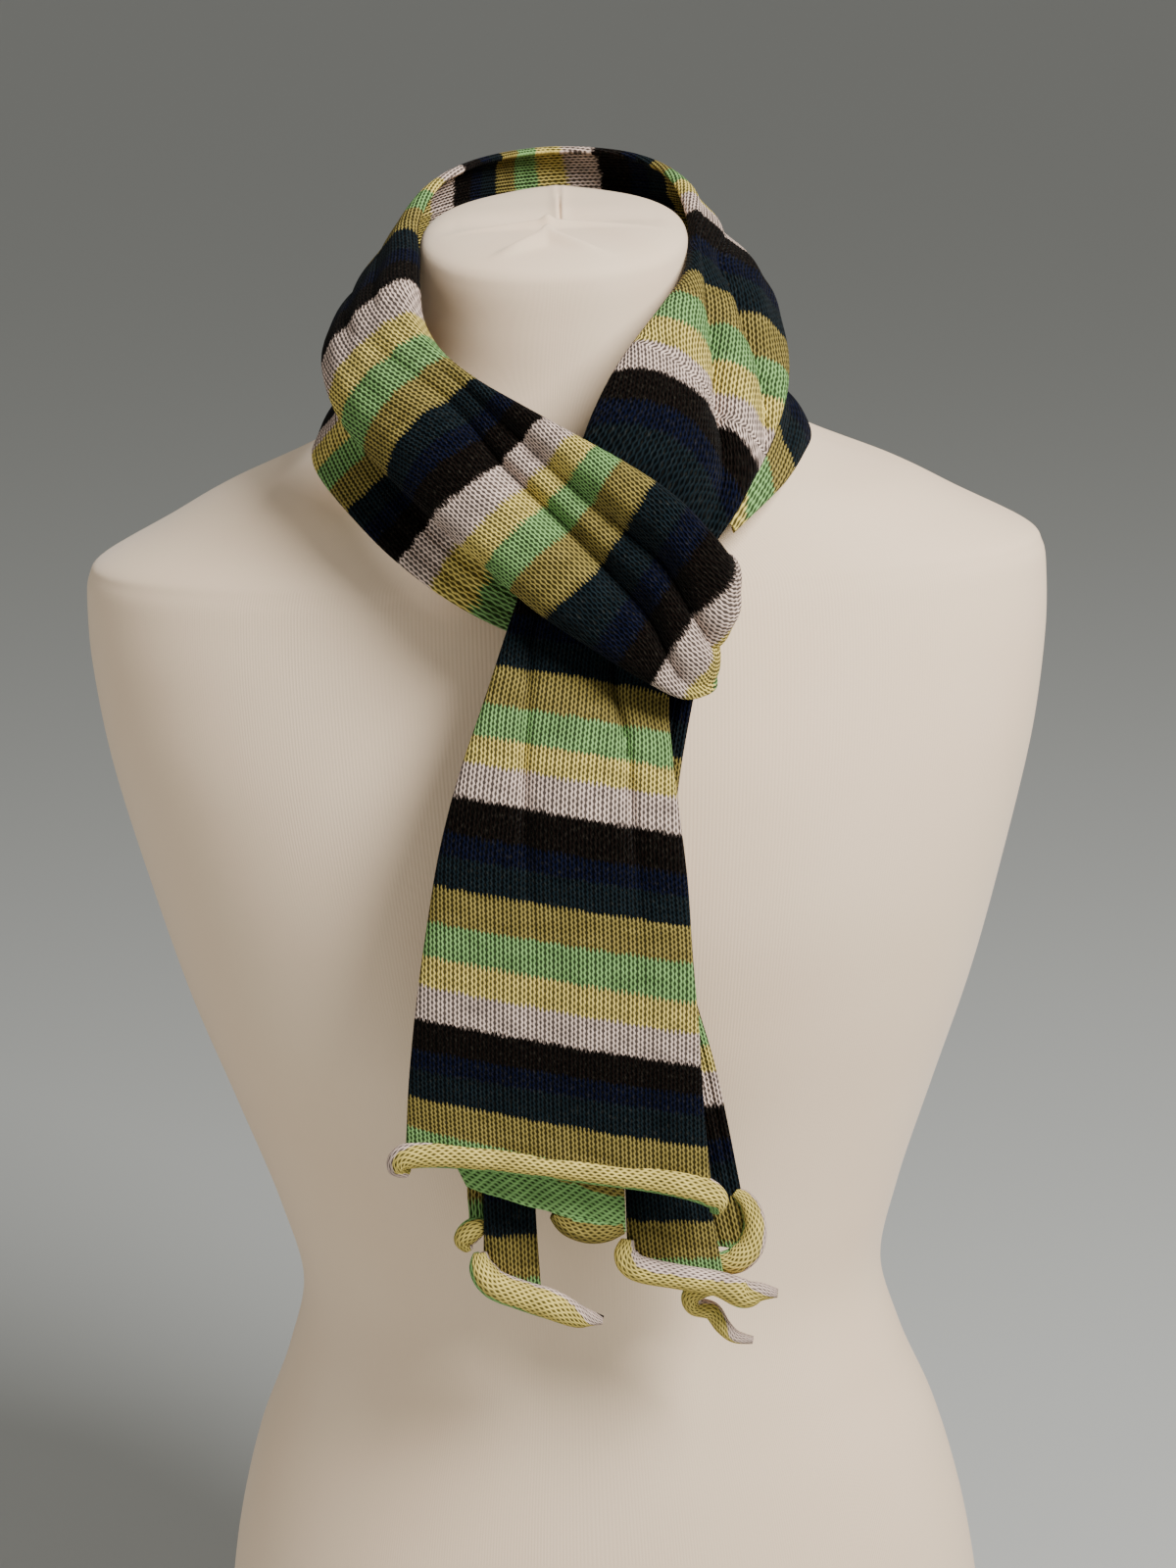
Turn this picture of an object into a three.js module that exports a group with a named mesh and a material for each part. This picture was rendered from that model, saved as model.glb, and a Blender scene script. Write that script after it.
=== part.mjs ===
// A long, narrow scarf of fine alpaca knit, tied once round a limbless dress form.
//
// Millimetres, +Z up. The form stands on z = 0, its waist is over the origin, and it faces -Y.
// The scarf is one strip of cloth. From its hidden end it turns round the knot, crosses the chest
// to the wearer's right, goes round the back of the neck, comes down the wearer's left side,
// passes under its own crossing band and hangs as the front tail. The other end hangs behind that.
// Each stretch is a folded wall: an arched section whose two long edges are turned under.
import * as THREE from 'three';

// ---- driving sizes ------------------------------------------------------------------------
const WALL = 2.0;            // folded knit with its nap
const ROLL_WALL = 1.6;       // a single layer of knit, rolled up at the raw hem
const SEAM_GAP = 0.3;        // space left between two stretches of the same cloth
const FORM_SIDES = 40;
const FORM_SQUARENESS = 2.25; // 2 is an ellipse, more is squarer
const ARCH_POWER = 0.8;      // below 1 flattens the top of a folded section
const CREASE_REACH = 0.2;   // half-width of a crease, as a fraction of the section's width
const ROLL_OPENING = 40;     // degrees of a rolled hem that stay open at its back

// ---- colours and finishes -----------------------------------------------------------------
const finish = (name, colour, roughness) =>
  Object.assign(new THREE.MeshStandardMaterial({ color: colour, roughness, metalness: 0 }), { name });
const formJersey = () => finish('cotton_jersey', 0xd9cbb8, 0.9);
const scarfKnit = () => finish('alpaca_knit', 0x6f7b52, 0.95);
const hemKnit = () => finish('alpaca_knit_rolled', 0xd6c06d, 0.95);

// ---- tables -------------------------------------------------------------------------------
const readTable = (columns, rows) =>
  rows.map((row) => Object.fromEntries(columns.map((column, i) => [column, row[i]])));

/** Value of one column between rows: a Catmull-Rom curve through the rows, t in row numbers. */
function columnAt(table, column, t) {
  const last = table.length - 1;
  const i = Math.min(Math.max(Math.floor(t), 0), last - 1);
  const f = t - i;
  const value = (k) => table[Math.min(Math.max(k, 0), last)][column];
  const [a, b, c, d] = [value(i - 1), value(i), value(i + 1), value(i + 2)];
  return b + 0.5 * f * (c - a + f * (2 * a - 5 * b + 4 * c - d + f * (3 * (b - c) + d - a)));
}

const pointAt = (table, prefix, t) => new THREE.Vector3(
  columnAt(table, `${prefix}x`, t),
  columnAt(table, `${prefix}y`, t),
  columnAt(table, `${prefix}z`, t),
);

// ---- the dress form -----------------------------------------------------------------------
// slope tips a ring forward: its back is higher than its front by slope times the depth.
const FORM_SECTIONS = readTable(
  ['z', 'halfWidth', 'front', 'back', 'centreY', 'slope'],
  [
    [0, 154, 104, 112, 0, 0],
    [40, 161, 109, 118, 0, 0],
    [78, 164, 111, 120, 0, 0],
    [116, 161, 110, 117, 0, 0],
    [153, 155, 106, 110, 0, 0],
    [190, 145, 99, 100, 0, 0],
    [225, 131, 92, 90, 0, 0],
    [262, 122, 87, 83, 0, 0],
    [300, 130, 89, 84, 0, 0],
    [345, 145, 95, 89, 0, 0],
    [392, 161, 104, 95, 0, 0],
    [440, 174, 110, 101, 0, 0],
    [490, 186, 107, 105, 0, 0],
    [530, 191.5, 98, 103, 0, 0],
    [556, 192, 90, 99, 0, 0],
    [566, 190.5, 86.5, 96, 0.5, 0],
    [572, 185.5, 84, 94, 1, 0],
    [584, 161.5, 79, 89, 2, 0.02],
    [596, 137.5, 74, 82, 3, 0.05],
    [610, 101, 68, 74, 4, 0.1],
    [628, 72, 61, 65, 4, 0.15],
    [650, 58, 55, 58, 3, 0.2],
    [672, 53.5, 52, 55, 1, 0.25],
    [687, 53, 51, 54, 0, 0.27],
    [693, 51.5, 49.5, 52, 0, 0.27],
    [696.5, 46, 44, 46, 0, 0.27],
    [699, 31, 30, 31, 0, 0.27],
  ],
);
const FORM_CAP_CENTRE = 700;

function buildDressForm() {
  const points = [];
  const faces = [];
  const power = 2 / FORM_SQUARENESS;
  const stretch = (value) => Math.sign(value) * Math.abs(value) ** power;
  for (const row of FORM_SECTIONS) {
    for (let k = 0; k < FORM_SIDES; k += 1) {
      const angle = (2 * Math.PI * k) / FORM_SIDES;
      const reach = Math.sin(angle) > 0 ? row.back : row.front;
      const y = reach * stretch(Math.sin(angle));
      points.push(row.halfWidth * stretch(Math.cos(angle)), row.centreY + y, row.z + row.slope * y);
    }
  }
  const rings = FORM_SECTIONS.length;
  for (let ring = 0; ring < rings - 1; ring += 1) {
    for (let k = 0; k < FORM_SIDES; k += 1) {
      const here = ring * FORM_SIDES + k;
      const next = ring * FORM_SIDES + ((k + 1) % FORM_SIDES);
      faces.push(here, next, next + FORM_SIDES, here, next + FORM_SIDES, here + FORM_SIDES);
    }
  }
  const bottom = points.length / 3;
  points.push(0, 0, 0);
  points.push(0, 0, FORM_CAP_CENTRE);
  for (let k = 0; k < FORM_SIDES; k += 1) {
    const next = (k + 1) % FORM_SIDES;
    const topRing = (rings - 1) * FORM_SIDES;
    faces.push(bottom, next, k, bottom + 1, topRing + k, topRing + next);
  }
  return closedMesh('dress_form', points, faces, formJersey());
}

// ---- cloth walls --------------------------------------------------------------------------
/** A mesh from points and triangles, turned outward by the sign of its volume. */
function closedMesh(name, points, faces, material) {
  const corner = (k) => new THREE.Vector3().fromArray(points, 3 * k);
  let volume = 0;
  for (let f = 0; f < faces.length; f += 3) {
    volume += corner(faces[f]).dot(corner(faces[f + 1]).cross(corner(faces[f + 2])));
  }
  const outward = volume > 0 ? faces : faces.slice().reverse();
  const geometry = new THREE.BufferGeometry();
  geometry.setAttribute('position', new THREE.Float32BufferAttribute(points, 3));
  geometry.setIndex(outward);
  geometry.computeVertexNormals();
  const mesh = new THREE.Mesh(geometry, material);
  mesh.name = name;
  return mesh;
}

/** Depth of the creases at a fraction s of the width: sharp valleys between rounded ridges. */
function creaseDepth(section, s) {
  let depth = 0;
  for (const place of section.creases) {
    const near = 1 - Math.abs(s - place) / CREASE_REACH;
    if (near > 0) depth = Math.max(depth, section.creaseDepth * near * near);
  }
  return depth;
}

/**
 * A closed wall through sections. Each section is an arch over its chord, from -curl to
 * 180 + curl degrees, so both edges are turned under; creases press into the top of the arch.
 * sectionAt(t) gives the section at t from 0 to 1.
 */
function foldedWall({ name, sectionAt, along, across, wall, material }) {
  const points = [];
  const faces = [];
  const width = across + 1;
  for (let i = 0; i <= along; i += 1) {
    const section = sectionAt(i / along);
    for (const inset of [0, wall]) {
      for (let j = 0; j <= across; j += 1) {
        const angle = -section.curl + (Math.PI + 2 * section.curl) * (j / across);
        const rise = Math.sin(angle);
        const reach = -Math.cos(angle) * (section.halfWidth - inset);
        const arch = Math.sign(rise) * Math.abs(rise) ** ARCH_POWER * (section.crown - inset);
        const press = creaseDepth(section, (1 - Math.cos(angle)) / 2) * Math.max(rise, 0);
        const point = section.centre.clone()
          .addScaledVector(section.acrossWay, reach)
          .addScaledVector(section.outWay, arch - press);
        points.push(point.x, point.y, point.z);
      }
    }
  }
  const at = (i, layer, j) => (2 * i + layer) * width + j;
  const quad = (a, b, c, d) => faces.push(a, b, c, a, c, d);
  for (let i = 0; i < along; i += 1) {
    for (let j = 0; j < across; j += 1) {
      quad(at(i, 0, j), at(i, 0, j + 1), at(i + 1, 0, j + 1), at(i + 1, 0, j));
      quad(at(i, 1, j + 1), at(i, 1, j), at(i + 1, 1, j), at(i + 1, 1, j + 1));
    }
    quad(at(i, 1, 0), at(i, 0, 0), at(i + 1, 0, 0), at(i + 1, 1, 0));
    quad(at(i, 0, across), at(i, 1, across), at(i + 1, 1, across), at(i + 1, 0, across));
  }
  for (let j = 0; j < across; j += 1) {
    quad(at(0, 1, j), at(0, 1, j + 1), at(0, 0, j + 1), at(0, 0, j));
    quad(at(along, 0, j), at(along, 0, j + 1), at(along, 1, j + 1), at(along, 1, j));
  }
  return closedMesh(name, points, faces, material);
}

/** Section of a strip between its inner edge (a) and its outer edge (b), t in row numbers. */
function stripSection(table, t) {
  const inner = pointAt(table, 'a', t);
  const outer = pointAt(table, 'b', t);
  const step = 0.05;
  const from = Math.max(t - step, 0);
  const to = Math.min(t + step, table.length - 1);
  const centreOf = (k) => pointAt(table, 'a', k).add(pointAt(table, 'b', k)).multiplyScalar(0.5);
  const alongWay = centreOf(to).sub(centreOf(from)).normalize();
  const acrossWay = outer.clone().sub(inner).normalize();
  return {
    centre: inner.clone().add(outer).multiplyScalar(0.5),
    acrossWay,
    outWay: alongWay.clone().cross(acrossWay).normalize(),
    halfWidth: inner.distanceTo(outer) / 2,
    crown: columnAt(table, 'crown', t),
    curl: THREE.MathUtils.degToRad(columnAt(table, 'curl', t)),
    creases: ['crease1', 'crease2'].map((column) => columnAt(table, column, t)),
    creaseDepth: columnAt(table, 'depth', t),
    rowLength: centreOf(to).distanceTo(centreOf(from)) / (to - from),
  };
}

/** One stretch of a strip, from one row to another, drawn back by half a seam gap where it is cut. */
function stretchOf(table, { name, from, to, along, across }) {
  const last = table.length - 1;
  const trim = (t) => SEAM_GAP / 2 / stripSection(table, t).rowLength;
  const start = from > 0 ? from + trim(from) : 0;
  const end = to < last ? to - trim(to) : last;
  const sectionAt = (f) => stripSection(table, start + (end - start) * f);
  return foldedWall({ name, sectionAt, along, across, wall: WALL, material: scarfKnit() });
}

// ---- the main strip: knot turn, crossing band, back of the neck, left side, front tail -----
// a is the edge nearest the neck, b the outer edge; crown is the height of the arch over a-b.
const STRIP_COLUMNS = ['ax', 'ay', 'az', 'bx', 'by', 'bz', 'crown', 'curl', 'crease1', 'crease2',
  'depth'];
const MAIN_STRIP = readTable(STRIP_COLUMNS, [
  // behind the knot, turning round its outer side
  [22, -101.5, 583, 12, -101.5, 546, 4, 10, 0.45, 0.8, 0],
  [41, -101, 588, 33, -101, 541, 5.5, 12, 0.45, 0.8, 0.5],
  [57, -106, 591, 48, -105, 538, 7, 14, 0.6, 0.88, 2],
  [63, -118, 592, 53, -118, 537, 8, 16, 0.68, 0.92, 3],
  [61, -131, 595, 49, -131, 537, 9, 18, 0.66, 0.92, 3],
  // crossing band, up to the wearer's right
  [54, -138, 602, 40, -138, 538, 10, 20, 0.52, 0.9, 3],
  [41, -138, 612, 26, -138, 546, 11, 22, 0.36, 0.68, 3],
  [25, -132, 623, 9, -136, 557, 12, 22, 0.32, 0.57, 3],
  [5, -124, 634, -10, -132, 570, 12, 22, 0.25, 0.47, 3],
  [-14, -114, 644, -30, -124, 587, 12, 26, 0.17, 0.39, 3],
  [-31, -103, 653, -48, -113, 603, 12, 22, 0.1, 0.26, 3],
  [-44, -88, 662, -65, -98, 618, 13, 14, 0.08, 0.25, 2],
  [-51, -66, 671, -80, -77, 632, 13, 10, 0.15, 0.4, 1.5],
  [-53, -40, 680, -88, -47, 646, 12, 10, 0.3, 0.6, 1.5],
  [-53.5, -16, 690, -87, -19, 655, 10, 10, 0.32, 0.65, 2],
  // back of the neck
  [-54, 8, 700, -83, 12, 661, 8, 10, 0.35, 0.7, 2],
  [-46, 33, 709, -72, 45, 665, 7, 10, 0.35, 0.7, 2],
  [-31, 53, 715, -48, 74, 668, 7, 10, 0.38, 0.7, 2],
  [-10, 63, 718, -16, 89, 670, 7, 10, 0.4, 0.7, 2],
  [12, 64, 718, 16, 90, 670, 7, 10, 0.38, 0.66, 2],
  [34, 55, 715, 48, 76, 668, 7, 10, 0.3, 0.6, 2],
  [48, 35, 709, 73, 47, 664, 8, 10, 0.2, 0.5, 2],
  [53.5, 10, 700, 84, 13, 658, 9, 10, 0.1, 0.35, 2],
  // down the wearer's left side
  [53.5, -12, 690, 86, -15, 650, 10, 10, 0.06, 0.25, 3],
  [50, -36, 681, 86.5, -41, 641, 11, 10, 0.15, 0.5, 3],
  [41, -61, 673, 84, -66, 632, 11, 10, 0.38, 0.8, 3],
  [31, -81, 664, 78, -87, 621.5, 10, 12, 0.57, 0.95, 3],
  [21, -96, 653, 71, -100, 611, 9, 22, 0.77, 1.1, 3],
  [12, -105, 638, 63, -108, 599, 8, 20, 0.88, 1.2, 3],
  [4, -110, 619, 51, -111, 583, 6, 16, 0.9, 1.3, 1],
  [-4, -113, 601, 44, -113, 567, 4.5, 12, 0.6, 1.2, 0],
  // front tail
  [-12, -116, 586, 40, -117, 551, 4.5, 12, 0.2, 0.7, 0.5],
  [-19, -120, 570, 36.5, -123, 534, 4.5, 14, 0.14, 0.64, 3],
  [-31, -131, 539, 37, -134, 514, 7, 16, 0.22, 0.75, 3],
  [-42, -139, 511, 39, -140, 493, 7, 16, 0.3, 0.78, 2],
  [-50, -143, 484, 41, -144, 470, 6, 16, 0.35, 0.8, 1],
  [-56, -146, 455, 42, -147, 443, 6, 16, 0.4, 0.8, 0.5],
  [-61, -147, 427, 43.5, -147, 414, 5, 16, 0.4, 0.82, 0.5],
  [-65, -147, 398, 44.5, -147, 384, 5, 16, 0.4, 0.82, 0.5],
  [-67, -147, 376, 46, -147, 358, 5, 14, 0.4, 0.82, 0.5],
]);
const MAIN_STRETCHES = [
  { name: 'scarf_crossing_band', from: 0, to: 11, along: 24, across: 13 },
  { name: 'scarf_right_shoulder', from: 11, to: 15, along: 7, across: 12 },
  { name: 'scarf_back_neck', from: 15, to: 22, along: 14, across: 10 },
  { name: 'scarf_left_shoulder', from: 22, to: 31, along: 16, across: 12 },
  { name: 'scarf_front_tail', from: 31, to: 39, along: 11, across: 12 },
];

// ---- lower fold: the outer layer of the same cloth, lying on the shoulders -----------------
const LOWER_FOLD = readTable(STRIP_COLUMNS, [
  // from behind the front tail, up to the wearer's right
  [4, -105, 577, -6, -105.5, 553, 4, 10, 0.5, 0.75, 0],
  [-12, -105, 584, -24, -106, 559, 4, 10, 0.5, 0.75, 1],
  [-29, -100, 597, -45, -104, 571, 4, 12, 0.5, 0.75, 1],
  [-41, -90, 612, -65, -96, 586, 4, 14, 0.5, 0.75, 1],
  [-51, -73, 628, -82, -82, 602, 4, 16, 0.5, 0.75, 1],
  [-57, -55, 643, -92, -63, 611, 4, 16, 0.5, 0.75, 1],
  [-61, -34, 653, -96, -40, 615, 4, 16, 0.5, 0.75, 1],
  [-62, -12, 660, -96, -14, 616, 4, 16, 0.5, 0.75, 1],
  // round the back
  [-60, 14, 666, -93, 18, 620, 4, 16, 0.5, 0.75, 1],
  [-51, 36, 670, -80, 51, 625, 4, 16, 0.5, 0.75, 1],
  [-34, 57, 673, -52, 81, 627, 4, 16, 0.5, 0.75, 1],
  [-12, 67, 675, -17, 96, 628, 4, 16, 0.5, 0.75, 1],
  [12, 68, 675, 18, 96, 628, 4, 16, 0.5, 0.75, 1],
  [34, 58, 673, 53, 82, 627, 4, 16, 0.5, 0.75, 1],
  [52, 37, 669, 81, 52, 624, 4, 16, 0.5, 0.75, 1],
  [62, 14, 664, 95, 17, 616.8, 4, 16, 0.5, 0.75, 1],
  // down the wearer's left side, ending behind the knot turn
  [65, -12, 657, 98, -15, 613, 4, 16, 0.5, 0.75, 1],
  [67, -34, 647, 93, -42, 609.5, 4, 16, 0.5, 0.75, 1],
  [66.5, -54, 637, 85.5, -64, 604, 4, 14, 0.5, 0.75, 1],
  [64, -70, 627, 78, -78, 599.5, 4, 12, 0.5, 0.75, 1],
  [60, -82, 616, 70.5, -88, 595, 4, 12, 0.5, 0.75, 1],
  [56, -90, 605, 63.5, -94, 590, 4, 12, 0.5, 0.75, 1],
]);
const LOWER_STRETCHES = [
  { name: 'scarf_lower_fold_right', from: 0, to: 7, along: 10, across: 7 },
  { name: 'scarf_lower_fold_back', from: 7, to: 15, along: 12, across: 7 },
  { name: 'scarf_lower_fold_left', from: 15, to: 21, along: 8, across: 7 },
];

// ---- what hangs behind the front tail -----------------------------------------------------
// The end of the front tail is folded double, and the scarf's other end hangs as four pleats.
const BACK_LAYER = readTable(STRIP_COLUMNS, [
  [-56, -142, 424, 12, -142, 410, 3, 6, 0.5, 0.8, 0],
  [-58, -142, 400, 13, -142, 384, 3, 6, 0.5, 0.8, 0],
  [-56, -140, 378, 14, -140, 358, 3, 6, 0.5, 0.8, 0],
  [-52, -139, 359, 14, -139, 332.5, 3, 6, 0.5, 0.8, 0],
]);
const REAR_LEFT_PLEAT = readTable(STRIP_COLUMNS, [
  [-20, -106, 557.2, -6, -106, 552.4, 4, 10, 0.5, 0.8, 0],
  [-26, -118, 500, 0, -118, 496, 4, 10, 0.5, 0.8, 1],
  [-33, -126, 450, -8, -126, 446, 4, 10, 0.5, 0.8, 1],
  [-38.5, -129, 400, -17, -129, 396, 4, 10, 0.5, 0.8, 1],
  [-39.5, -129, 352, -20, -129, 349, 4, 10, 0.5, 0.8, 1],
  [-41.5, -129, 319, -20, -129, 310, 4, 10, 0.5, 0.8, 1],
]);
const REAR_MIDDLE_PLEAT = readTable(STRIP_COLUMNS, [
  [10, -102, 545.5, 33, -102, 540.3, 3.5, 10, 0.5, 0.8, 0],
  [5, -117, 500, 36, -117, 492, 4, 10, 0.5, 0.8, 1],
  [8, -126, 450, 37, -126, 444, 4, 10, 0.5, 0.8, 1],
  [13, -129, 400, 41, -129, 394, 4, 10, 0.5, 0.8, 1],
  [14, -129, 352, 46, -129, 344, 4, 10, 0.5, 0.8, 1],
  [14, -129, 320.5, 50, -129, 314, 4, 10, 0.5, 0.8, 1],
]);
const REAR_RIGHT_PLEAT = readTable(STRIP_COLUMNS, [
  [36.5, -98.5, 539.2, 48, -100.5, 536.6, 3, 10, 0.5, 0.8, 0],
  [28, -110.5, 490, 38, -110.5, 485, 3.5, 10, 0.5, 0.8, 1],
  [24, -119, 440, 40, -119, 434, 3.5, 10, 0.5, 0.8, 1],
  [31, -121, 390, 50.5, -121, 388, 3.5, 10, 0.5, 0.8, 1],
  [38, -122, 341.4, 58.5, -122, 340.7, 3.5, 10, 0.5, 0.8, 1],
]);
const REAR_FAR_PLEAT = readTable(STRIP_COLUMNS, [
  [-37, -122.2, 400, -28, -122.2, 398, 2.5, 6, 0.5, 0.8, 0],
  [-45.5, -124, 352, -37, -124, 350, 2.5, 6, 0.5, 0.8, 0],
  [-46, -124, 334, -38, -124, 332, 2.5, 6, 0.5, 0.8, 0],
]);

// ---- rolled hems --------------------------------------------------------------------------
// Stockinette knit curls up at a raw edge, so each hem is a roll, open along its back.
const ROLL_COLUMNS = ['x', 'y', 'z', 'radius'];
const FRONT_ROLL = readTable(ROLL_COLUMNS, [
  [-69, -147, 361.5, 2.2],
  [-71, -147.5, 365.5, 3.6],
  [-66, -148, 368.8, 4.4],
  [-52, -148, 368.2, 4.9],
  [-27, -148, 364.8, 5],
  [-2, -148, 360.3, 4.9],
  [23, -148, 355.9, 5],
  [41, -148, 351, 5.1],
  [49.5, -146, 345, 3.8],
]);
const BACK_LAYER_ROLL = readTable(ROLL_COLUMNS, [
  [-12, -138, 337.2, 2.8],
  [-7.5, -138, 332.4, 4.6],
  [-1, -138, 330, 5],
  [6, -138, 330, 4.2],
  [12, -138, 331, 2.4],
]);
const REAR_LEFT_ROLL = readTable(ROLL_COLUMNS, [
  [-44, -133.5, 318.8, 2.8],
  [-39.5, -135, 311.8, 5.4],
  [-28, -135, 305.3, 5.6],
  [-15.5, -136, 300.2, 5.8],
  [-5, -137, 296, 3.6],
  [3, -137.5, 295, 1.7],
]);
const REAR_MIDDLE_ROLL = readTable(ROLL_COLUMNS, [
  [13, -133, 320.2, 2.6],
  [17.5, -135, 315.1, 4.5],
  [33, -135, 310.5, 4.4],
  [48, -135, 307.2, 4.6],
  [59, -135.5, 303.4, 5],
  [64.5, -136.5, 303.6, 3],
  [70, -137.5, 303, 1.7],
]);
const REAR_RIGHT_ROLL = readTable(ROLL_COLUMNS, [
  [51, -122, 337.8, 2.6],
  [59.5, -122, 336.5, 3.4],
  [65.5, -123, 328, 4.3],
  [65, -124, 316.5, 4.6],
  [59.5, -125, 310.5, 4.4],
  [54, -125, 310.5, 2.6],
]);
const REAR_FAR_ROLL = readTable(ROLL_COLUMNS, [
  [-39.6, -125.2, 329.6, 2],
  [-44.5, -126, 328, 3.4],
  [-47.5, -126, 325, 3.4],
  [-46, -126, 321, 1.8],
]);
const HANGING_TIP = readTable(ROLL_COLUMNS, [
  [49, -129.5, 301.4, 2.2],
  [40.5, -128, 301.5, 3.4],
  [37.5, -126, 297.6, 3.5],
  [40.5, -126, 293.7, 3.6],
  [46.5, -127, 291.5, 3.4],
  [50, -128, 285.5, 3],
  [55.5, -129, 282, 2.4],
  [61, -129.5, 280.8, 1.6],
]);

function rolledHem(name, table, along) {
  const last = table.length - 1;
  const step = 0.05;
  const facing = new THREE.Vector3(0, -1, 0);
  const sectionAt = (f) => {
    const t = last * f;
    const ahead = pointAt(table, '', Math.min(t + step, last));
    const alongWay = ahead.sub(pointAt(table, '', Math.max(t - step, 0))).normalize();
    const outWay = facing.clone().addScaledVector(alongWay, -facing.dot(alongWay)).normalize();
    const radius = columnAt(table, 'radius', t);
    return {
      centre: pointAt(table, '', t),
      acrossWay: outWay.clone().cross(alongWay),
      outWay,
      halfWidth: radius,
      crown: radius,
      curl: THREE.MathUtils.degToRad(90 - ROLL_OPENING / 2),
      creases: [],
      creaseDepth: 0,
    };
  };
  return foldedWall({ name, sectionAt, along, across: 8, wall: ROLL_WALL, material: hemKnit() });
}

// ---- the whole object ---------------------------------------------------------------------
const part = new THREE.Group();
part.add(buildDressForm());
const scarf = new THREE.Group();
for (const stretch of MAIN_STRETCHES) scarf.add(stretchOf(MAIN_STRIP, stretch));
for (const stretch of LOWER_STRETCHES) scarf.add(stretchOf(LOWER_FOLD, stretch));
const HANGING_LAYERS = [
  ['scarf_tail_back_layer', BACK_LAYER, 4, 6],
  ['scarf_rear_pleat_left', REAR_LEFT_PLEAT, 7, 5],
  ['scarf_rear_pleat_middle', REAR_MIDDLE_PLEAT, 7, 5],
  ['scarf_rear_pleat_right', REAR_RIGHT_PLEAT, 6, 5],
  ['scarf_rear_pleat_far', REAR_FAR_PLEAT, 3, 4],
];
for (const [name, table, along, across] of HANGING_LAYERS) {
  scarf.add(stretchOf(table, { name, from: 0, to: table.length - 1, along, across }));
}
const HEMS = [
  ['scarf_front_roll', FRONT_ROLL, 10],
  ['scarf_back_layer_roll', BACK_LAYER_ROLL, 5],
  ['scarf_rear_roll_left', REAR_LEFT_ROLL, 7],
  ['scarf_rear_roll_middle', REAR_MIDDLE_ROLL, 8],
  ['scarf_rear_roll_right', REAR_RIGHT_ROLL, 7],
  ['scarf_rear_roll_far', REAR_FAR_ROLL, 4],
  ['scarf_hanging_tip', HANGING_TIP, 9],
];
for (const [name, table, along] of HEMS) scarf.add(rolledHem(name, table, along));
part.add(scarf);

export default part;
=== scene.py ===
"""A long, narrow scarf of fine striped alpaca knit, tied once round a limbless dress form.

Metres, +Z up, in the frame of the CAD part: the form stands on z = 0 and faces -Y, and the
wearer's left is +X. Tables of rows are in millimetres, as in the part's source, and are brought
to metres where they are read. Each stretch of cloth is a thin closed wall on its own solid's
form, with its creases, and it carries two numbers for the knit: the wale it lies in and how far
along the run of stripes it lies.
"""
import math

import bpy
import numpy as np
from mathutils import Matrix, Vector


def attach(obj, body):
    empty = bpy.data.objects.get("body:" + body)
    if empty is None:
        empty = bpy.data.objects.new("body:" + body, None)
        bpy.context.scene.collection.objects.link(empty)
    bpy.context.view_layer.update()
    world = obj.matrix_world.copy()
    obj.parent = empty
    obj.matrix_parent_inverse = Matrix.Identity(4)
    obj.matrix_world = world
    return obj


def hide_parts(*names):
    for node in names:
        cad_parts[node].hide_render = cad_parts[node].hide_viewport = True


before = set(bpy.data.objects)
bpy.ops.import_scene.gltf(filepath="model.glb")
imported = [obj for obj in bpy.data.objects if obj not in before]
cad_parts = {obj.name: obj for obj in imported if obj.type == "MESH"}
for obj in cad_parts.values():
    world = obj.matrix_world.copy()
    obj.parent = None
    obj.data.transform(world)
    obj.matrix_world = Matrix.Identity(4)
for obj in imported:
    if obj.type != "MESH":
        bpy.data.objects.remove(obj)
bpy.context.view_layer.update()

# ---- camera ---------------------------------------------------------------------------------
# The camera stands in front of the form, a little higher than its cap, looks down by 15 degrees
# and is rolled by 2 degrees. It takes in the form from below the waist to above the scarf.
VIEW_CENTRE = Vector((0.0056, 0.0, 0.470))
VIEW_DISTANCE = 1.370
TILT = math.radians(15)
ROLL = math.radians(-2.07)
looking = Vector((0.0, math.cos(TILT), -math.sin(TILT)))
camera = bpy.data.objects.new("camera", bpy.data.cameras.new("camera"))
camera.data.lens = 77
camera.data.sensor_fit = "VERTICAL"
camera.data.sensor_height = 36
camera.matrix_world = (
    Matrix.Translation(VIEW_CENTRE - VIEW_DISTANCE * looking)
    @ looking.to_track_quat("-Z", "Y").to_matrix().to_4x4()
    @ Matrix.Rotation(ROLL, 4, "Z")
)
bpy.context.scene.collection.objects.link(camera)
bpy.context.scene.camera = camera


# ---- materials ------------------------------------------------------------------------------
# Each material is a small tree of nodes round one shader. A colour is given as it looks on
# screen, as a hex number, and is made linear by one function.
def linear(hex_colour):
    """The linear colour of an sRGB hex number: each channel c becomes ((c + 0.055) / 1.055)^2.4."""
    channels = [(hex_colour >> shift & 255) / 255 for shift in (16, 8, 0)]
    return [*(c / 12.92 if c <= 0.04045 else ((c + 0.055) / 1.055) ** 2.4 for c in channels), 1.0]


def add_node(tree, kind, inputs=None, **settings):
    """A node with its settings and its inputs, where an input is a value or another node's output."""
    node = tree.nodes.new(kind)
    for name, value in settings.items():
        setattr(node, name, value)
    for name, value in (inputs or {}).items():
        if isinstance(value, bpy.types.NodeSocket):
            tree.links.new(value, node.inputs[name])
        else:
            node.inputs[name].default_value = value
    return node


def new_material(name):
    """A material with the default shader, its tree of nodes, and the shader."""
    material = bpy.data.materials.new(name)
    material.use_nodes = True
    return material, material.node_tree, material.node_tree.nodes["Principled BSDF"]


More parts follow.
